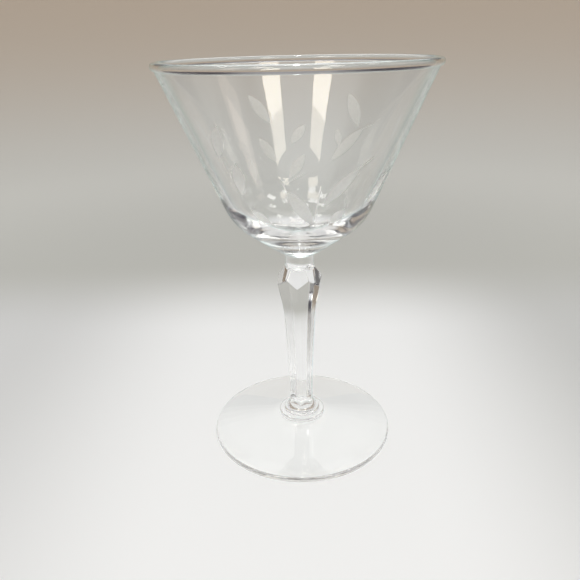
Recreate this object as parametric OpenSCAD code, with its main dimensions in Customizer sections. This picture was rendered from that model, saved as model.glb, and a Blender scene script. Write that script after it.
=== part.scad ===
// Stemmed cocktail glass with a flared bowl, a faceted stem, two collars and a round foot.
// Millimetres, +Z up, with the origin at the middle of the foot's underside.

/* [Foot] */
// Diameter of the foot
foot_d = 70; // [50:1:95]
// Thickness of the foot at its edge
foot_edge = 2; // [1.6:0.1:3]
// Height of the foot at its middle, where the lower collar sits
foot_h = 7; // [5:0.1:12]
// Width of the flat ring that the foot rests on
seat_w = 7; // [3:0.5:15]
// Depth of the hollow under the middle of the foot
hollow_h = 2.5; // [0.5:0.1:3.5]

/* [Collars] */
// Diameter of the lower collar
lower_collar_d = 17.8; // [14:0.1:24]
// Height of the lower collar
lower_collar_h = 1.6; // [1:0.1:4]
// Diameter of the upper collar
upper_collar_d = 14; // [12.5:0.1:20]
// Height of the upper collar
upper_collar_h = 1.2; // [0.8:0.1:4]

/* [Stem] */
// Height of the stem from the upper collar to the bowl
stem_h = 64.8; // [50:0.1:90]
// Diameter of the round flare at the bottom of the stem
flare_d = 11.8; // [10.5:0.1:12.4]
// Height of the round flare
flare_h = 4.6; // [2:0.1:8]
// Width across the flats at the waist, the thinnest place
waist_w = 8.4; // [6:0.1:10]
// Height of the waist above the bottom of the stem
waist_h = 14; // [6:0.5:20]
// Width across the flats at the knee, where the panels splay out
knee_w = 11.3; // [10.2:0.1:13]
// Distance from the knee up to the bowl
knee_drop = 22; // [16:0.1:28]
// Width across the corners at the knop, the widest place
knop_w = 17.6; // [16:0.1:22]
// Distance from the knop's lower points up to the bowl
knop_drop = 10.9; // [8:0.1:14]
// Height of the shoulder facets, from the knop's lower points to where they touch the neck
shoulder_h = 5.6; // [3:0.1:6]
// Diameter of the round neck between the stem and the bowl
neck_d = 10.2; // [8:0.1:14]

/* [Bowl] */
// Outer diameter over the rim
rim_d = 92; // [75:1:120]
// Height of the bowl from the neck to the rim
bowl_h = 65.4; // [50:0.1:90]
// Diameter of the rounded bead along the rim
bead_d = 2.6; // [1.9:0.1:4]
// Thickness of the wall below the rim
wall = 1.2; // [1:0.1:1.8]
// How much the wall thickens from the rim down to the level of the floor
wall_gain = 1.7; // [0:0.1:2.5]
// Diameter of the heel, where the straight wall and the sloping base would meet
heel_d = 47; // [35:0.1:60]
// Height of the heel above the neck
heel_h = 12.9; // [11:0.1:20]
// Rounding of the heel on the outside
heel_r = 21; // [16:0.5:24]
// How far the base between the neck and the heel bulges below a straight cone
base_bulge = 0.4; // [0.1:0.1:1]
// Height of the floor inside the bowl above the neck
floor_h = 8.4; // [7.5:0.1:14]
// Rounding between the wall and the floor inside the bowl
floor_r = 23; // [10:0.5:24]

/* [Hidden] */
$fn = 96;

GLASS = [0.86, 0.94, 0.93, 0.4];
sides = 6;
turn = 360 / sides;
arc_steps = 12;
bead_steps = 24;
bend_steps = 5;

// Small roundings
foot_edge_r = foot_edge * 0.45;
collar_r = 0.45;
flare_lip = 0.5;
flare_bend = flare_h * 0.45;
foot_shoulder = 0.4;
knee_r = 60;
waist_r = 120;
bulge_r = 40;

// Shares of a side that a rounding may take: towards a corner that is rounded too, or one that is not
half_side = 0.49;
whole_side = 0.98;

// Heights of the joints between the pieces
foot_top = foot_h;
lower_collar_top = foot_top + lower_collar_h;
upper_collar_top = lower_collar_top + upper_collar_h;
stem_top = upper_collar_top + stem_h;

// Half widths of the stem's panels, from its axis to the flats
flat_share = cos(turn / 2);
waist_flat = waist_w / 2;
knee_flat = knee_w / 2;
knop_flat = knop_w / 2 * flat_share;
knee_h = stem_h - knee_drop;
knop_h = stem_h - knop_drop;

// Rim bead and the straight wall that ends in it
bead_at = [(rim_d - bead_d) / 2, bowl_h - bead_d / 2];
heel_at = [heel_d / 2, heel_h];
wall_run = bead_at - heel_at;
wall_out = [wall_run.y, -wall_run.x] / norm(wall_run) * wall / 2;

// Corner of the bulging base, a quarter of the way from the neck to the heel
neck_at = [neck_d / 2, 0];
base_run = heel_at - neck_at;
bulge_at = neck_at + base_run / 4 + unit([base_run.y, -base_run.x]) * base_bulge;

function unit(v) = v / norm(v);

function flat(corner) = [corner.x, corner.y];

// Length of the side between two corners that the rounding of the first may take
function room(corner, next) =
    norm(flat(corner) - flat(next)) * (next.z > 0 ? half_side : whole_side);

// Points of an arc that rounds a corner given as [x, y, rounding]
function corner_arc(before, corner, after, steps) =
    let (
        p = flat(corner),
        u = unit(flat(before) - p),
        v = unit(flat(after) - p),
        half = acos(u * v) / 2,
        reach = min(corner.z / tan(half), room(corner, before), room(corner, after)),
        r = reach * tan(half),
        centre = p + unit(u + v) * r / sin(half),
        first = p + u * reach - centre,
        last = p + v * reach - centre,
        start = atan2(first.y, first.x),
        sweep = (atan2(last.y, last.x) - start + 540) % 360 - 180
    )
    [for (i = [0:steps]) centre + r * [cos(start + sweep * i / steps), sin(start + sweep * i / steps)]];

// Outline through corners given as [x, y, rounding]
function outline(corners, steps) =
    let (count = len(corners))
    [
        for (i = [0:count - 1])
            let (before = corners[(i + count - 1) % count], after = corners[(i + 1) % count], corner = corners[i])
                each corner.z > 0 ? corner_arc(before, corner, after, steps) : [flat(corner)]
    ];

// Corners round the rim bead, from the outside of the wall over the top to the inside
function bead_corners() =
    let (out = unit(wall_out), up = unit(wall_run), reach = acos(wall / bead_d))
    [
        for (i = [0:bead_steps])
            let (
                a = -reach + (180 + 2 * reach) * i / bead_steps,
                p = bead_at + (out * cos(a) + up * sin(a)) * bead_d / 2
            )
                [p.x, p.y, 0]
    ];

// Solid turned from an outline of radius and height
module turned(corners) {
    rotate_extrude() polygon(outline(corners, arc_steps));
}

// Six-sided solid whose opposite faces follow half of an outline of half width and height
module panelled(corners, angle) {
    path = outline(corners, bend_steps);
    both = concat(path, [for (i = [len(path) - 1:-1:0]) [-path[i].x, path[i].y]]);
    length = 4 * max([for (p = path) p.x]);
    intersection_for (k = [0:sides / 2 - 1])
        rotate([0, 0, angle + k * turn])
            rotate([90, 0, 0])
                linear_extrude(height = length, center = true) polygon(both);
}

module disc(d, h) {
    turned([[0, 0, 0], [d / 2, 0, collar_r], [d / 2, h, collar_r], [0, h, 0]]);
}

module foot() {
    r = foot_d / 2;
    top_r = lower_collar_d / 2 + foot_shoulder;
    color(GLASS)
        turned([
            [0, hollow_h, 0],
            [r - foot_edge_r - seat_w, 0, 0],
            [r, 0, foot_edge_r],
            [r, foot_edge, foot_edge_r],
            [top_r, foot_top, 0],
            [0, foot_top, 0]
        ]);
}

module lower_collar() {
    color(GLASS) translate([0, 0, foot_top]) disc(lower_collar_d, lower_collar_h);
}

module upper_collar() {
    color(GLASS) translate([0, 0, lower_collar_top]) disc(upper_collar_d, upper_collar_h);
}

// Tapering panels up to the knop, cut by the shoulder facets that face its corners.
// The facets run on inside the neck until their own corners are within it.
module stem_panels() {
    splay = (knop_flat - knee_flat) / (knop_h - knee_h);
    shoulder_splay = (knop_w - neck_d) / 2 / shoulder_h;
    run_h = min((knop_w - neck_d * flat_share) / 2 / shoulder_splay, knop_drop);
    shoulder_end = knop_w / 2 - shoulder_splay * run_h;
    shoulder_top = knop_h + run_h;
    intersection() {
        panelled([
            [0, 0, 0],
            [waist_flat, 0, 0],
            [waist_flat, waist_h, waist_r],
            [knee_flat, knee_h, knee_r],
            [knop_flat + splay * run_h, shoulder_top, 0],
            [0, shoulder_top, 0]
        ], 0);
        panelled([
            [0, 0, 0],
            [knop_w / 2 + shoulder_splay * knop_h, 0, 0],
            [shoulder_end, shoulder_top, 0],
            [0, shoulder_top, 0]
        ], turn / 2);
    }
}

module stem() {
    color(GLASS)
        translate([0, 0, upper_collar_top])
            union() {
                stem_panels();
                turned([
                    [0, 0, 0],
                    [flare_d / 2, 0, 0],
                    [flare_d / 2, flare_lip, 0],
                    [waist_flat, flare_bend, flare_h],
                    [waist_flat, flare_h, 0],
                    [0, flare_h, 0]
                ]);
                translate([0, 0, knop_h]) cylinder(d = neck_d, h = knop_drop);
            }
}

module bowl() {
    top_out = bead_at + wall_out;
    top_in = bead_at - wall_out;
    lean = (top_out.x - heel_at.x) / (top_out.y - heel_at.y);
    floor_edge = top_in.x - lean * (top_in.y - floor_h) - wall_gain;
    color(GLASS)
        translate([0, 0, stem_top])
            turned([
                [0, 0, 0],
                [neck_at.x, neck_at.y, 0],
                [bulge_at.x, bulge_at.y, bulge_r],
                [heel_at.x, heel_at.y, heel_r],
                each bead_corners(),
                [floor_edge, floor_h, floor_r],
                [0, floor_h, 0]
            ]);
}

foot();
lower_collar();
upper_collar();
stem();
bowl();
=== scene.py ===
"""Looks of a clear cocktail glass: five fused pieces of glass, grey-cut leaves, a pale studio."""
import math

import bmesh
import bpy
import numpy as np
from mathutils import Matrix, Vector
from mathutils.geometry import delaunay_2d_cdt


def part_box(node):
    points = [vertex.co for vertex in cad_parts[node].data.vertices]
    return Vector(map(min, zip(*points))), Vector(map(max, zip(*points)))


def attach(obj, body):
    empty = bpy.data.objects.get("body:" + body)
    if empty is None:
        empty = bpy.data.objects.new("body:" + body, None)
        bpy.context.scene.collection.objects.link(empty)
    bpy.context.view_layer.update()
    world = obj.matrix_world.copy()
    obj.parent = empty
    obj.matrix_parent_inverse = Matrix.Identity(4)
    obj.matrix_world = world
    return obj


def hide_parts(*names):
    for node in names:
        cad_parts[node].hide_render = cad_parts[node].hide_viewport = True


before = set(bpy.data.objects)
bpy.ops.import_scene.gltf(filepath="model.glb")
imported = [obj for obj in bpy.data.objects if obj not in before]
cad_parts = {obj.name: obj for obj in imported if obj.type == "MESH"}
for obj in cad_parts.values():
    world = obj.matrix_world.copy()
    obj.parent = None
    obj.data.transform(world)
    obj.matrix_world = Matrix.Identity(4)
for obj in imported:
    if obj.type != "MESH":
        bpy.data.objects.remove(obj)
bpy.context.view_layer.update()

MM = 0.001  # the sizes below are in millimetres, where nothing else is said

# Places of the pieces, from the frame
FOOT_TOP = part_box("foot")[1].z / MM
LOWER_COLLAR_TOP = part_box("lower_collar")[1].z / MM
UPPER_COLLAR_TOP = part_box("upper_collar")[1].z / MM
STEM_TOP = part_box("stem")[1].z / MM
RIM_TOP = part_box("bowl")[1].z / MM
FOOT_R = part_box("foot")[1].x / MM
LOWER_COLLAR_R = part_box("lower_collar")[1].x / MM
UPPER_COLLAR_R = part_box("upper_collar")[1].x / MM
RIM_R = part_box("bowl")[1].x / MM
STEM_H = STEM_TOP - UPPER_COLLAR_TOP

# Shape of the foot and collars
FOOT_EDGE = 2.0  # thickness of the foot at its edge
FOOT_EDGE_ROUND = 0.9  # rounding of that edge
SEAT_W = 7.0  # width of the flat ring that the foot rests on
HOLLOW_H = 2.5  # depth of the hollow under the middle
FOOT_SHOULDER = 0.4  # how far the flat top reaches past the lower collar
COLLAR_ROUND = 0.45  # rounding of the collars

# Shape of the stem: radii, half widths across the flats, heights above its bottom and roundings
SIDES = 6
FLARE_R, FLARE_H, FLARE_LIP = 5.9, 4.6, 0.5
FLARE_BEND = FLARE_H * 0.45
WAIST_FLAT, WAIST_H, WAIST_ROUND = 4.2, 14.0, 120.0
KNEE_FLAT, KNEE_DROP, KNEE_ROUND = 5.65, 22.0, 60.0
KNEE_H = STEM_H - KNEE_DROP
KNOP_R, KNOP_DROP = 8.8, 10.9
KNOP_FLAT = KNOP_R * math.cos(math.pi / SIDES)
KNOP_H = STEM_H - KNOP_DROP
SHOULDER_H = 5.6
SHOULDER_MIN = 0.5  # least distance of a shoulder facet from the axis
NECK_R = 5.1
EDGE_SOFTNESS = 0.09  # how far the edges between the facets are rounded off
PAST = 1.0  # how far an outline runs on past the place where it is used
FACING_MIN = 0.2  # a facet counts in a direction whose cosine with its normal is above this
FAR = 60.0  # distance that stands for a facet that does not count

# Shape of the bowl, with heights above its bottom
BEAD_R = 1.3
WALL, WALL_GAIN = 1.2, 1.7  # thickness below the rim, and how much it gains down to the floor
HEEL_R, HEEL_H, HEEL_ROUND = 23.5, 12.9, 21.0
BULGE_SHARE, BASE_BULGE, BULGE_ROUND = 0.25, 0.4, 40.0
FLOOR_H, FLOOR_ROUND = 8.4, 23.0

# Shares of a side that a rounding may take: towards a corner that is rounded too, or one that is not
HALF_SIDE, WHOLE_SIDE = 0.49, 0.98

# Fineness of the meshes: steps round a piece or an arc, then the longest steps along straight runs
TURN_STEPS = 192
STEM_STEPS = 288
ARC_STEPS = 20
BEND_STEPS = 24
BEAD_STEPS = 28
FOOT_RUN, BOWL_RUN, WALL_RUN = 4.0, 3.0, 1.5
SHARP_ANGLE = 28  # degrees

# Rows of the stem's mesh: the heights between which they are even, and how many each stretch has
FLARE_END = 6
KNEE_START, KNEE_END = KNEE_H - 6, KNEE_H + 4
SHOULDER_END = KNOP_H + SHOULDER_H + 2
STEM_BREAKS = (0, FLARE_END, KNEE_START, KNEE_END, SHOULDER_END, STEM_H)
STEM_ROWS = (32, 24, 16, 70, 8)

# Lengths that count as none: for a radius, between two points of a mesh, and off a row of points
TINY, WELD, OFF_ROW = 1e-6, 1e-5, 1e-3
COLUMN_DIGITS = 3  # digits after the point to which a column's number is rounded

# Finishes, in the order of each piece's materials
POLISHED, FUSED, CUT = 0, 1, 2
GLASS_IOR = 1.5
GLASS_TINT, EDGE_TINT = (0.995, 1.0, 0.999), (0.35, 0.72, 0.74)
EDGE_FROM, EDGE_TO = 0.65, 1.0
WAVE_SIZE, WAVE_DEPTH, WAVE_DETAIL = 14.0, 0.03, 1
CUT_PALE, CUT_DEEP = (0.92, 0.925, 0.905), (0.84, 0.845, 0.83)
CUT_ROUGHNESS, CUT_CLEAR = 0.6, 0.85
GRAIN_SIZE, GRAIN_DEPTH, GRAIN_DETAIL = 0.7, 0.02, 3
GRAIN_FROM, GRAIN_TO = 0.35, 0.65
SHADOW_TINT = (0.995, 0.998, 0.996)

# Leaves: azimuth in degrees from -Y towards +X and height of base and tip, then width
LEAVES = [
    (16.5, 92.6, 0.5, 104.8, 4.4),
    (22.0, 99.4, 39.8, 111.0, 4.2),
    (28.0, 92.6, 38.5, 97.2, 3.8),
    (-12.5, 92.8, -25.0, 97.5, 3.2),
    (-28.0, 102.0, -25.0, 113.0, 4.2),
    (-35.0, 114.0, -28.0, 124.0, 4.2),
    (-156.0, 101.2, -145.0, 110.0, 4.0),
    (-155.0, 115.0, -144.0, 125.2, 4.4),
    (-165.0, 95.0, -178.0, 103.4, 4.0),
    (-168.0, 107.4, -178.0, 113.9, 3.6),
    (160.5, 101.6, 140.0, 113.6, 4.2),
    (156.0, 107.0, 160.0, 112.8, 2.6),
    (144.5, 113.8, 156.5, 125.2, 4.8),
    (-133.0, 95.0, -134.5, 103.0, 3.4),
    (-107.0, 98.0, -105.0, 107.0, 3.6),
    (60.0, 97.0, 70.0, 107.0, 4.2),
    (88.0, 97.0, 78.0, 107.0, 4.2),
    (-62.0, 97.0, -72.0, 107.0, 4.2),
]
STALKS = [
    (16.5, 92.6, 19.7, 106.6, 0.6),
    (39.8, 111.0, 47.5, 113.8, 0.6),
    (0.5, 104.8, -2.5, 108.8, 0.6),
    (37.6, 97.2, 36.2, 101.6, 0.5),
    (140.0, 113.6, 131.0, 115.6, 0.6),
    (-164.0, 93.6, -179.0, 97.0, 0.5),
]
LEAF_STEPS = 16
CUT_SLOPE = 0.2  # depth of a cut for each millimetre of its half width
CUT_ROOM = 0.5  # space round a cut that the wall's own points keep clear of
SEAM = 115.0  # azimuth in degrees where the unrolled wall begins and ends, away from the cuts
WALL_START = math.radians(SEAM) - 2 * math.pi
WALL_TURN = 2 * math.pi / TURN_STEPS


def corner_arc(a, p, b, steps):
    """Points that round the corner p between a and b, as far as the two sides allow.

    Each corner is (radius, height, rounding).
    """
    room = min(math.dist(q[:2], p[:2]) * (HALF_SIDE if q[2] else WHOLE_SIDE) for q in (a, b))
    radius = p[2]
    a, p, b = (np.array(q[:2], float) for q in (a, p, b))
    u = (a - p) / np.linalg.norm(a - p)
    v = (b - p) / np.linalg.norm(b - p)
    half = math.acos(np.clip(u @ v, -1, 1)) / 2
    reach = min(radius / math.tan(half), room)
    r = reach * math.tan(half)
    centre = p + (u + v) / np.linalg.norm(u + v) * r / math.sin(half)
    first, last = p + u * reach - centre, p + v * reach - centre
    start = math.atan2(first[1], first[0])
    sweep = (math.atan2(last[1], last[0]) - start + 3 * math.pi) % (2 * math.pi) - math.pi
    angles = start + sweep * np.arange(steps + 1) / steps
    return [tuple(centre + r * np.array((math.cos(t), math.sin(t)))) for t in angles]


def outline(corners, steps=ARC_STEPS):
    """Open outline through corners given as (radius, height, rounding)."""
    points = []
    for i, (x, z, rounding) in enumerate(corners):
        if rounding and 0 < i < len(corners) - 1:
            points += corner_arc(*corners[i - 1:i + 2], steps)
        else:
            points.append((x, z))
    return points


def resample(points, step):
    """The same outline with its long straight runs split into even steps."""
    out = [points[0]]
    for a, b in zip(points, points[1:]):
        parts = max(1, math.ceil(math.dist(a, b) / step))
        out += [tuple(np.array(a) + (np.array(b) - a) * k / parts) for k in range(1, parts + 1)]
    return out


class Builder:
    """Collects vertices and faces of one object, in millimetres, with a finish for each face."""

    def __init__(self):
        self.verts, self.faces, self.finish = [], [], []

    def vert(self, radius, azimuth, z):
        """Adds a vertex by its distance from the axis, azimuth from -Y towards +X, and height."""
        x, y = radius * math.sin(azimuth), -radius * math.cos(azimuth)
        self.verts.append((x * MM, y * MM, z * MM))
        return len(self.verts) - 1

    def ring(self, radius, z, steps, start=0.0):
        """Adds a ring of vertices, or one vertex repeated where the ring lies on the axis."""
        if radius < TINY:
            return [self.vert(0, 0, z)] * steps
        turn = 2 * math.pi / steps
        return [self.vert(radius, start + k * turn, z) for k in range(steps)]

    def face(self, corners, finish=POLISHED):
        self.faces.append(corners)
        self.finish.append(finish)

    def band(self, low, high, finish=POLISHED):
        """Adds the faces between two rings."""
        n = len(low)
        for k in range(n):
            quad = [low[k], low[(k + 1) % n], high[(k + 1) % n], high[k]]
            self.face([v for i, v in enumerate(quad) if v not in quad[:i]], finish)

    def mesh(self, name, materials):
        """Makes an object of what was collected, smooth except at sharp angles."""
        mesh = bpy.data.meshes.new(name)
        mesh.from_pydata(self.verts, [], self.faces)
        for material in materials:
            mesh.materials.append(material)
        mesh.polygons.foreach_set("material_index", self.finish)
        mesh.polygons.foreach_set("use_smooth", [True] * len(self.faces))
        shape = bmesh.new()
        shape.from_mesh(mesh)
        bmesh.ops.recalc_face_normals(shape, faces=shape.faces)
        shape.to_mesh(mesh)
        shape.free()
        mesh.set_sharp_from_angle(angle=math.radians(SHARP_ANGLE))
        ob = bpy.data.objects.new(name, mesh)
        bpy.context.scene.collection.objects.link(ob)
        return ob

    def piece(self, node, materials):
        """Makes the piece of glass that takes a node's place."""
        ob = self.mesh("glass_" + node, materials)
        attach(ob, "root")
        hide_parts(node)


def turned(node, profile, materials, fused):
    """A solid of revolution from a profile that starts and ends on the axis.

    fused lists the height and radius of each disc where it meets a neighbour.
    """
    solid = Builder()
    rings = [solid.ring(r, z, TURN_STEPS) for r, z in profile]
    for (r0, z0), (r1, z1), low, high in zip(profile, profile[1:], rings, rings[1:]):
        inner = any(z0 == z1 == h and max(r0, r1) < r + TINY for h, r in fused)
        solid.band(low, high, FUSED if inner else POLISHED)
    solid.piece(node, materials)


def fade(tree, share, low, high, first, second):
    """A colour that goes from first to second while share goes from low to high."""
    ramp = tree.nodes.new("ShaderNodeMapRange")
    ramp.interpolation_type = "SMOOTHSTEP"
    ramp.inputs["From Min"].default_value = low
    ramp.inputs["From Max"].default_value = high
    mix = tree.nodes.new("ShaderNodeMix")
    mix.data_type = "RGBA"
    mix.inputs["B"].default_value = (*second, 1)
    if isinstance(first, tuple):
        mix.inputs["A"].default_value = (*first, 1)
    else:
        tree.links.new(first, mix.inputs["A"])
    tree.links.new(share, ramp.inputs["Value"])
    tree.links.new(ramp.outputs["Result"], mix.inputs["Factor"])
    return mix.outputs["Result"]


def two_tone(material, share, low, high, first, second):
    """Colours a material from first to second while share goes from low to high."""
    tree = material.node_tree
    colour = fade(tree, share, low, high, first, second)
    tree.links.new(colour, tree.nodes["Principled BSDF"].inputs["Base Color"])


def noise(material, size, depth, detail):
    """Noise that stays with the piece, used as a bump. Size and depth are in millimetres."""
    nodes, links = material.node_tree.nodes, material.node_tree.links
    place = nodes.new("ShaderNodeTexCoord")
    texture = nodes.new("ShaderNodeTexNoise")
    texture.inputs["Scale"].default_value = 1 / (size * MM)
    texture.inputs["Detail"].default_value = detail
    bump = nodes.new("ShaderNodeBump")
    bump.inputs["Distance"].default_value = depth * MM
    links.new(place.outputs["Object"], texture.inputs["Vector"])
    links.new(texture.outputs["Fac"], bump.inputs["Height"])
    links.new(bump.outputs["Normal"], nodes["Principled BSDF"].inputs["Normal"])
    return texture.outputs["Fac"]


def see_through(material, shader):
    """Lets lamp light and light from the floor pass the glass, so that it throws only a faint shadow."""
    nodes, links = material.node_tree.nodes, material.node_tree.links
    clear = nodes.new("ShaderNodeBsdfTransparent")
    clear.inputs["Color"].default_value = (*SHADOW_TINT, 1)
    path = nodes.new("ShaderNodeLightPath")
    for ray in ("Is Diffuse Ray", "Is Shadow Ray"):
        mix = nodes.new("ShaderNodeMixShader")
        links.new(path.outputs[ray], mix.inputs[0])
        links.new(shader.outputs[0], mix.inputs[1])
        links.new(clear.outputs[0], mix.inputs[2])
        shader = mix
    links.new(shader.outputs[0], nodes["Material Output"].inputs["Surface"])


def new_glass(name, roughness, clear):
    glass = bpy.data.materials.new(name)
    glass.use_nodes = True
    shader = glass.node_tree.nodes["Principled BSDF"]
    shader.inputs["Roughness"].default_value = roughness
    shader.inputs["IOR"].default_value = GLASS_IOR
    shader.inputs["Transmission Weight"].default_value = clear
    see_through(glass, shader)
    return glass


def clear_glass():
    """Polished glass, faintly wavy, and bluish green where it is seen edge on."""
    glass = new_glass("clear_glass", 0.0, 1.0)
    noise(glass, WAVE_SIZE, WAVE_DEPTH, WAVE_DETAIL)
    slant = glass.node_tree.nodes.new("ShaderNodeLayerWeight")
    two_tone(glass, slant.outputs["Facing"], EDGE_FROM, EDGE_TO, GLASS_TINT, EDGE_TINT)
    return glass


def cut_glass():
    """Glass ground matt by a cutting wheel, pale and grainy."""
    glass = new_glass("cut_glass", CUT_ROUGHNESS, CUT_CLEAR)
    grain = noise(glass, GRAIN_SIZE, GRAIN_DEPTH, GRAIN_DETAIL)
    two_tone(glass, grain, GRAIN_FROM, GRAIN_TO, CUT_DEEP, CUT_PALE)
    return glass


def fused_face():
    """Where two pieces are fused the glass runs on, so nothing is seen there."""
    face = bpy.data.materials.new("fused_face")
    face.use_nodes = True
    nodes = face.node_tree.nodes
    nodes.remove(nodes["Principled BSDF"])
    clear = nodes.new("ShaderNodeBsdfTransparent")
    face.node_tree.links.new(clear.outputs[0], nodes["Material Output"].inputs["Surface"])
    return face


def make_foot(materials):
    """A thin disc that rises to the middle, with a hollow below."""
    joint_r = LOWER_COLLAR_R - COLLAR_ROUND
    profile = outline([
        (0, HOLLOW_H, 0),
        (FOOT_R - FOOT_EDGE_ROUND - SEAT_W, 0, 0),
        (FOOT_R, 0, FOOT_EDGE_ROUND),
        (FOOT_R, FOOT_EDGE, FOOT_EDGE_ROUND),
        (LOWER_COLLAR_R + FOOT_SHOULDER, FOOT_TOP, 0),
        (joint_r, FOOT_TOP, 0),
        (0, FOOT_TOP, 0),
    ])
    turned("foot", resample(profile, FOOT_RUN), materials, [(FOOT_TOP, joint_r)])


def make_collar(node, radius, low, high, above, materials):
    """A rounded disc that carries a piece of radius above."""
    profile = outline([
        (0, low, 0),
        (radius - COLLAR_ROUND, low, 0),
        (radius, low, COLLAR_ROUND),
        (radius, high, COLLAR_ROUND),
        (above, high, 0),
        (0, high, 0),
    ])
    turned(node, profile, materials, [(low, radius - COLLAR_ROUND), (high, above)])


def soft_min(values, softness):
    """The smallest of several values, rounded off where two of them are close."""
    low = np.min(values, axis=0)
    return low - softness * np.log(np.sum(np.exp(-(values - low) / softness), axis=0))


def soft_max(values, softness):
    return -soft_min(-values, softness)


def stem_panels(h, angle):
    """Distance from the axis to the six panels and the shoulder facets that cut off their corners."""
    panel = np.array(outline([
        (WAIST_FLAT, -PAST, 0),
        (WAIST_FLAT, WAIST_H, WAIST_ROUND),
        (KNEE_FLAT, KNEE_H, KNEE_ROUND),
        (KNOP_FLAT, KNOP_H, 0),
    ], BEND_STEPS))
    splay = (KNOP_FLAT - KNEE_FLAT) / (KNOP_H - KNEE_H)
    flat = np.interp(h, panel[:, 1], panel[:, 0]) + splay * np.maximum(h - KNOP_H, 0)
    shoulder = KNOP_R - (h - KNOP_H) * (KNOP_R - NECK_R) / SHOULDER_H
    shoulder = np.maximum(shoulder, SHOULDER_MIN)
    turn = 2 * math.pi / SIDES
    facets = []
    for k in range(SIDES):
        for half, offset in ((flat, turn / 2), (shoulder, 0.0)):
            across = np.cos(angle - k * turn - offset)
            facets.append(np.where(across > FACING_MIN, half / np.maximum(across, FACING_MIN), FAR))
    return soft_min(np.array(facets), EDGE_SOFTNESS)


def stem_radius(h, angle):
    """Distance from the axis to the surface, by height above the bottom and angle from a corner."""
    curve = np.array(outline([
        (FLARE_R, -PAST, 0),
        (FLARE_R, FLARE_LIP, 0),
        (WAIST_FLAT, FLARE_BEND, FLARE_H),
        (WAIST_FLAT, FLARE_H, 0),
        (WAIST_FLAT - PAST, FLARE_H + PAST, 0),
    ], BEND_STEPS))
    flare = np.interp(h, curve[:, 1], curve[:, 0])
    neck = np.where(h > KNOP_H, NECK_R, 0.0)
    forms = np.broadcast_arrays(stem_panels(h, angle), flare, neck)
    return soft_max(np.array(forms), EDGE_SOFTNESS)


def make_stem(materials):
    """A six-sided stem with a knop, a round neck on top and a round flare at the bottom."""
    stretches = zip(STEM_BREAKS, STEM_BREAKS[1:], STEM_ROWS)
    rows = np.unique(np.concatenate([np.linspace(low, high, count) for low, high, count in stretches]))
    angles = 2 * math.pi * np.arange(STEM_STEPS) / STEM_STEPS
    radius = stem_radius(rows[:, None], angles[None, :])
    solid = Builder()
    rings = [[solid.vert(r, a, UPPER_COLLAR_TOP + h) for a, r in zip(angles, row)]
             for h, row in zip(rows, radius)]
    for low, high in zip(rings, rings[1:]):
        solid.band(low, high)
    for ring, h in ((rings[0], rows[0]), (rings[-1], rows[-1])):
        solid.band(solid.ring(0, UPPER_COLLAR_TOP + h, STEM_STEPS), ring, FUSED)
    solid.piece("stem", materials)


def bowl_profile():
    """The bowl's outline in three runs: the base, the outer wall and the inside.

    The wall starts in the middle of the heel. The inside starts with the bead and ends with the floor.
    """
    heel = np.array((HEEL_R, STEM_TOP + HEEL_H))
    bead = np.array((RIM_R - BEAD_R, RIM_TOP - BEAD_R))
    up = (bead - heel) / np.linalg.norm(bead - heel)
    out = np.array((up[1], -up[0]))
    reach = math.acos(WALL / 2 / BEAD_R)
    turns = -reach + (math.pi + 2 * reach) * np.arange(BEAD_STEPS + 1) / BEAD_STEPS
    bead_points = [tuple(bead + BEAD_R * (out * math.cos(t) + up * math.sin(t))) for t in turns]
    top_out, top_in = bead + out * WALL / 2, bead - out * WALL / 2
    lean = (top_out[0] - heel[0]) / (top_out[1] - heel[1])
    floor = STEM_TOP + FLOOR_H
    floor_edge = top_in[0] - lean * (top_in[1] - floor) - WALL_GAIN
    neck = np.array((NECK_R, STEM_TOP))
    run = heel - neck
    bulge = neck + run * BULGE_SHARE + np.array((run[1], -run[0])) / np.linalg.norm(run) * BASE_BULGE
    outer = outline([
        (0, STEM_TOP, 0),
        (*neck, 0),
        (*bulge, BULGE_ROUND),
        (*heel, HEEL_ROUND),
        (*bead_points[0], 0),
    ])
    inner = outline([
        (*bead_points[-1], 0),
        (floor_edge, floor, FLOOR_ROUND),
        (0, floor, 0),
    ])
    split = len(outer) - 2 - ARC_STEPS // 2
    return outer[:split + 1], outer[split:], bead_points[:-1] + inner


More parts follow.
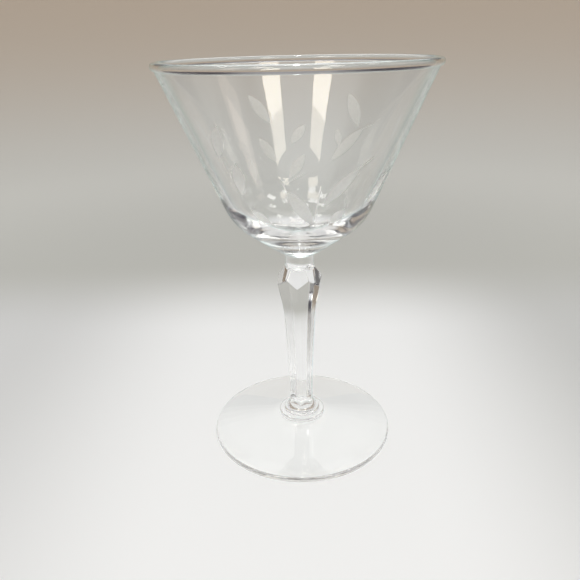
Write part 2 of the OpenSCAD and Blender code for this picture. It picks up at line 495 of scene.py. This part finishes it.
class Wall:
    """The outer wall unrolled: along it by distance from its lower end, round it by azimuth."""

    def __init__(self, points):
        points = np.array(resample(points, WALL_RUN))
        steps = np.linalg.norm(np.diff(points, axis=0), axis=1)
        self.r, self.z = points[:, 0], points[:, 1]
        self.s = np.concatenate([[0], np.cumsum(steps)])
        slope = np.gradient(points, self.s, axis=0)
        slope /= np.linalg.norm(slope, axis=1)[:, None]
        self.out = np.stack([slope[:, 1], -slope[:, 0]], axis=1)
        self.scale = self.r.mean()

    def at(self, s, depth):
        """Radius and height at a distance along the wall and a depth below its surface."""
        r, z = np.interp(s, self.s, self.r), np.interp(s, self.s, self.z)
        return (r - depth * np.interp(s, self.s, self.out[:, 0]),
                z - depth * np.interp(s, self.s, self.out[:, 1]))

    def leaf(self, cut):
        """A lens-shaped cut as points (azimuth, distance): its ends, two edges and midrib.

        The last value lists the depths of the midrib's points.
        """
        azimuth, low, azimuth_end, high, width = cut
        turn = (azimuth_end - azimuth + 180) % 360 - 180
        start = (azimuth - SEAM) % 360 + SEAM - 360
        s0, s1 = np.interp((low, high), self.z, self.s)
        radius = np.interp((s0 + s1) / 2, self.s, self.r)
        base = np.array((math.radians(start) * radius, s0))
        run = np.array((math.radians(turn) * radius, s1 - s0))
        side = np.array((-run[1], run[0])) / np.linalg.norm(run)
        t = np.arange(1, LEAF_STEPS) / LEAF_STEPS
        half = width / 2 * (1 - (2 * t - 1) ** 2)
        left, right, midrib = (
            [(x / radius, s) for x, s in base + run * t[:, None] + side * (half * share)[:, None]]
            for share in (1, -1, 0)
        )
        ends = [(x / radius, s) for x, s in (base, base + run)]
        return ends, (left, right), midrib, list(half * CUT_SLOPE)


def within(points, polygon, room):
    """For each point, whether it lies in a polygon or within room of it."""
    a, b = polygon, np.roll(polygon, -1, axis=0)
    found = np.zeros(len(points), bool)
    close = np.flatnonzero(((points > a.min(0) - room) & (points < a.max(0) + room)).all(1))
    p = points[close][:, None, :]
    crossing = (a[:, 1] > p[..., 1]) != (b[:, 1] > p[..., 1])
    rise = np.where(crossing, b[:, 1] - a[:, 1], 1)
    at = a[:, 0] + (p[..., 1] - a[:, 1]) / rise * (b[:, 0] - a[:, 0])
    inside = np.count_nonzero(crossing & (p[..., 0] < at), axis=1) % 2 == 1
    t = np.clip(((p - a) * (b - a)).sum(2) / ((b - a) ** 2).sum(1), 0, 1)
    gap = np.linalg.norm(a + (b - a) * t[..., None] - p, axis=2).min(1)
    found[close] = inside | (gap < room)
    return found


def wall_points(wall):
    """Points of the unrolled wall, their depths, the edges of the cuts, and the cuts' outlines."""
    points, depths, edges, cuts = [], [], [], []

    def add(places, depth=None):
        first = len(points)
        points.extend((a * wall.scale, s) for a, s in places)
        depths.extend(depth or [0.0] * len(places))
        return list(range(first, len(points)))

    for cut in LEAVES + STALKS:
        ends, sides, midrib, depth = wall.leaf(cut)
        base, tip = add(ends)
        left, right = [add(side) for side in sides]
        middle = add(midrib, depth)
        for line in (left, right, middle):
            path = [base, *line, tip]
            edges += list(zip(path, path[1:]))
        cuts.append(np.array([points[i] for i in [base, *left, tip, *right[::-1]]]))
    grid = [(WALL_START + k * WALL_TURN, s) for k in range(TURN_STEPS + 1) for s in wall.s]
    places = np.array([(a * wall.scale, s) for a, s in grid])
    keep = ~np.any([within(places, cut, CUT_ROOM) for cut in cuts], axis=0)
    add([(x / wall.scale, s) for x, s in places[keep]])
    return points, depths, edges, cuts


def cut_wall(solid, wall):
    """Adds the outer wall with its cuts to a bowl. Returns its lowest and highest ring."""
    points, depths, edges, cuts = wall_points(wall)
    flat, _, faces, origins, _, _ = delaunay_2d_cdt([Vector(p) for p in points], edges, [], 0, WELD)
    spots, index = {}, []
    for p, origin in zip(flat, origins):
        depth = max((depths[i] for i in origin), default=0.0)
        azimuth = p.x / wall.scale
        column = round((azimuth - WALL_START) / WALL_TURN, COLUMN_DIGITS) % TURN_STEPS
        row = int(np.abs(wall.s - p.y).argmin())
        on_grid = abs(wall.s[row] - p.y) < OFF_ROW and column % 1 == 0
        key = (column, row) if on_grid else (column, p.y)
        if key not in spots:
            r, z = wall.at(p.y, depth)
            spots[key] = solid.vert(r, azimuth, z)
        index.append(spots[key])
    middles = np.array([np.mean([flat[v] for v in corners], axis=0) for corners in faces])
    ground = np.any([within(middles, cut, 0) for cut in cuts], axis=0)
    for corners, is_cut in zip(faces, ground):
        solid.face([index[v] for v in corners], CUT if is_cut else POLISHED)
    last = len(wall.s) - 1
    return [[spots[float(k), row] for k in range(TURN_STEPS)] for row in (0, last)]


def make_bowl(materials):
    """A flared bowl with a thick base, a beaded rim and leaves cut into its outside."""
    solid = Builder()
    base, wall, inside = bowl_profile()
    low, high = cut_wall(solid, Wall(wall))
    start = math.radians(SEAM)
    base, inside = resample(base, BOWL_RUN)[:-1], resample(inside, BOWL_RUN)[1:]
    under = [solid.ring(r, z, TURN_STEPS, start) for r, z in base] + [low]
    over = [high] + [solid.ring(r, z, TURN_STEPS, start) for r, z in inside]
    for i, (ring, following) in enumerate(zip(under, under[1:])):
        on_stem = i + 1 < len(base) and base[i + 1][1] == STEM_TOP
        solid.band(ring, following, FUSED if on_stem else POLISHED)
    for ring, following in zip(over, over[1:]):
        solid.band(ring, following)
    solid.piece("bowl", materials)


# Camera at the photograph's viewing angle
CAMERA_TURN = 7.0  # degrees about the glass's axis
CAMERA_BACK, CAMERA_UP = 197.85, 145.38
PITCH, YAW, ROLL = (math.radians(v) for v in (23.318, -1.083, -1.3))
LENS = 36  # length of the lens and width of the sensor
STUDIO_TURN = Matrix.Rotation(math.radians(CAMERA_TURN), 3, "Z")


def make_camera():
    data = bpy.data.cameras.new("camera")
    data.sensor_width = data.lens = LENS
    camera = bpy.data.objects.new("camera", data)
    ahead = Vector((math.sin(YAW) * math.cos(PITCH), math.cos(YAW) * math.cos(PITCH), -math.sin(PITCH)))
    across = Vector((math.cos(YAW), -math.sin(YAW), 0))
    above = across.cross(ahead)
    x = across * math.cos(ROLL) + above * math.sin(ROLL)
    y = above * math.cos(ROLL) - across * math.sin(ROLL)
    place = Matrix.Translation((0, -CAMERA_BACK * MM, CAMERA_UP * MM))
    place = place @ Matrix((x, y, -ahead)).transposed().to_4x4()
    camera.matrix_world = STUDIO_TURN.to_4x4() @ place
    bpy.context.scene.collection.objects.link(camera)
    bpy.context.scene.camera = camera


# Directions in the studio as the camera sees it
AWAY = STUDIO_TURN @ Vector((0, 1, 0))
LEFT = STUDIO_TURN @ Vector((-1, 0, 0))
UP = Vector((0, 0, 1))

# Studio floor: its colour under the glass, then painted shade, as changes to darker colours between two
# distances, along a direction or, where there is none, outwards from the glass
STAGE_COLOUR = (0.93, 0.945, 0.965)
# Painted shade: darker to the sides, behind the glass and towards the camera's right, and greyer and
# warmer further out
STAGE_PAINTED_SHADE = [
    (LEFT, 40, 150, (0.68, 0.69, 0.7)),
    (-LEFT, 40, 150, (0.6, 0.61, 0.61)),
    (AWAY, 80, 190, (0.53, 0.535, 0.51)),
    (None, 200, 550, (0.66, 0.66, 0.63)),
    (None, 400, 1750, (0.6, 0.5, 0.4)),
    ((-LEFT - AWAY).normalized(), 150, 400, (0.36, 0.35, 0.36)),
]
STAGE_ROUGHNESS = 0.9
STAGE_DROP = 0.1  # gap below the foot, so that the two faces do not coincide
STAGE_FLAT, SWEEP_OUT, SWEEP_UP = 600, 1200, 560
STAGE_STEPS, SWEEP_STEPS = 96, 24

# Light from all round: its colour behind the glass, then changes of colour towards a direction,
# between two cosines. The dark zones show as dark lines in the heel and along the rim.
SKY_COLOUR = (0.4, 0.4, 0.38)
LEFT_DARK, RIGHT_DARK = (0.04, 0.04, 0.055), (0.05, 0.045, 0.06)
BACK_GREY, BACK_DARK = (0.28, 0.27, 0.27), (0.04, 0.035, 0.045)
SKY_BLENDS = [
    (-AWAY, -0.6, 0.7, (0.84, 0.85, 0.87)),
    (LEFT, 0.74, 0.86, LEFT_DARK),
    ((-LEFT * 0.8 - AWAY * 0.6 + UP * 0.4).normalized(), 0.92, 0.96, RIGHT_DARK),
    ((UP * 0.3 - LEFT).normalized(), 0.97, 0.985, RIGHT_DARK),
    ((AWAY * 0.94 + UP * 0.34).normalized(), 0.9, 0.96, BACK_GREY),
    ((AWAY * 0.81 + LEFT * 0.5 + UP * 0.3).normalized(), 0.89, 0.95, BACK_DARK),
    ((AWAY * 0.81 - LEFT * 0.5 + UP * 0.3).normalized(), 0.89, 0.95, BACK_DARK),
]

# Lamps: distance from the place in the bowl that they face, and that place. The lengths of lamps are in
# metres and their angles in degrees.
LAMP_DISTANCE, LAMP_AIM = 1.2, Vector((0, 0, 0.11))
CREAM, WHITE, ROSE = (1.0, 0.92, 0.78), (1.0, 0.99, 0.97), (1.0, 0.82, 0.7)
FRONT_SIZE, CEILING_SIZE, SIDE_SIZE = (0.31, 0.325), (0.18, 0.22), (0.33, 0.25)

# Each lamp's name, azimuth from the camera's side, elevation, size, radiance, colour and roll
LAMPS = [
    ("front_right", 31, 44.8, FRONT_SIZE, 6.5, CREAM, -15),
    ("front_left", -31, 45.0, FRONT_SIZE, 6.5, CREAM, 15),
    ("ceiling_near_right", 38, 58, CEILING_SIZE, 8.2, WHITE, 0),
    ("ceiling_far_right", 85, 56, CEILING_SIZE, 8.2, WHITE, 0),
    ("ceiling_near_left", -38, 58, CEILING_SIZE, 8.2, WHITE, 0),
    ("ceiling_far_left", -85, 56, CEILING_SIZE, 8.2, WHITE, 0),
    ("side_right", 82, 28, SIDE_SIZE, 1.6, ROSE, 0),
]

# Two lamps behind the glass that show in it and do not light the floor: a narrow one high up that
# makes glints, and a panel with soft edges, in layers, that is only seen as a reflection
BEHIND = 180
SPARK_RISE, SPARK_SIZE, SPARK_RADIANCE = 84, (0.05, 0.6), 24
SHEEN_RISE, SHEEN_SIZE, SHEEN_RADIANCE = 46, (1.2, 0.66), 0.36
SHEEN_LAYERS, SHEEN_GROWTH, SHEEN_GAP = 4, 0.2, 0.04


def graded(tree, place, colour, blends, unit=1):
    """A colour that changes with a place, by blends of (axis, from, to, colour).

    The place is measured along the axis, or outwards where the axis is None.
    """
    for axis, low, high, further in blends:
        along = tree.nodes.new("ShaderNodeVectorMath")
        tree.links.new(place, along.inputs[0])
        if axis is None:
            along.operation = "LENGTH"
        else:
            along.operation = "DOT_PRODUCT"
            along.inputs[1].default_value = axis
        colour = fade(tree, along.outputs["Value"], low * unit, high * unit, colour, further)
    return colour


def studio_floor():
    """A pale floor that sweeps up all round, with painted shade that makes it darker to the sides and
    greyer and warmer further out.
    """
    material = bpy.data.materials.new("studio_floor")
    material.use_nodes = True
    tree = material.node_tree
    shader = tree.nodes["Principled BSDF"]
    shader.inputs["Roughness"].default_value = STAGE_ROUGHNESS
    place = tree.nodes.new("ShaderNodeNewGeometry").outputs["Position"]
    # The floor's colour carries the painted shade
    tree.links.new(graded(tree, place, STAGE_COLOUR, STAGE_PAINTED_SHADE, MM), shader.inputs["Base Color"])
    profile = [(0, -STAGE_DROP), (STAGE_FLAT, -STAGE_DROP)]
    profile += [(STAGE_FLAT + SWEEP_OUT * math.sin(t), SWEEP_UP * (1 - math.cos(t)) - STAGE_DROP)
                for t in np.linspace(0, math.pi / 2, SWEEP_STEPS + 1)[1:]]
    sheet = Builder()
    rings = [sheet.ring(r, z, STAGE_STEPS) for r, z in profile]
    for low, high in zip(rings, rings[1:]):
        sheet.band(low, high)
    sheet.mesh("studio_floor", [material])


def lamp(name, turn, rise, size, radiance, colour, roll=0, distance=LAMP_DISTANCE):
    """A rectangular lamp, placed by its azimuth from the camera's side and its elevation, in degrees."""
    a, e = math.radians(turn + CAMERA_TURN), math.radians(rise)
    back = Vector((math.sin(a) * math.cos(e), -math.cos(a) * math.cos(e), math.sin(e)))
    data = bpy.data.lights.new(name, "AREA")
    data.shape = "RECTANGLE"
    data.size, data.size_y = size
    data.energy = radiance * math.pi * size[0] * size[1]
    data.color = colour
    ob = bpy.data.objects.new(name, data)
    facing = back.to_track_quat("Z", "Y").to_matrix() @ Matrix.Rotation(math.radians(roll), 3, "Z")
    ob.matrix_world = Matrix.Translation(LAMP_AIM + back * distance) @ facing.to_4x4()
    bpy.context.scene.collection.objects.link(ob)
    return ob


def studio_lamps():
    for values in LAMPS:
        lamp(*values)
    spark = lamp("spark", BEHIND, SPARK_RISE, SPARK_SIZE, SPARK_RADIANCE, WHITE)
    spark.visible_diffuse = False
    for layer in range(SHEEN_LAYERS):
        size = [side + SHEEN_GROWTH * layer for side in SHEEN_SIZE]
        distance = LAMP_DISTANCE + SHEEN_GAP * layer
        sheen = lamp(f"sheen_{layer}", BEHIND, SHEEN_RISE, size, SHEEN_RADIANCE, WHITE,
                     distance=distance)
        sheen.visible_diffuse = sheen.visible_transmission = False


def studio_sky():
    world = bpy.data.worlds.new("studio")
    bpy.context.scene.world = world
    world.use_nodes = True
    tree = world.node_tree
    place = tree.nodes.new("ShaderNodeTexCoord").outputs["Generated"]
    colour = graded(tree, place, SKY_COLOUR, SKY_BLENDS)
    tree.links.new(colour, tree.nodes["Background"].inputs["Color"])


make_camera()
studio_floor()
studio_lamps()
studio_sky()
finishes = [
    clear_glass(),
    fused_face(),
    cut_glass(),
]
make_foot(finishes)
make_collar("lower_collar", LOWER_COLLAR_R, FOOT_TOP, LOWER_COLLAR_TOP,
            UPPER_COLLAR_R - COLLAR_ROUND, finishes)
make_collar("upper_collar", UPPER_COLLAR_R, LOWER_COLLAR_TOP, UPPER_COLLAR_TOP,
            FLARE_R, finishes)
make_stem(finishes)
make_bowl(finishes)

# Enough bounces for light to pass every wall of the glass
GLASS_BOUNCES, CLEAR_BOUNCES = 96, 32
scene = bpy.context.scene
scene.view_settings.view_transform = "Standard"
scene.cycles.max_bounces = GLASS_BOUNCES
scene.cycles.transmission_bounces = GLASS_BOUNCES
scene.cycles.glossy_bounces = GLASS_BOUNCES
scene.cycles.transparent_max_bounces = CLEAR_BOUNCES
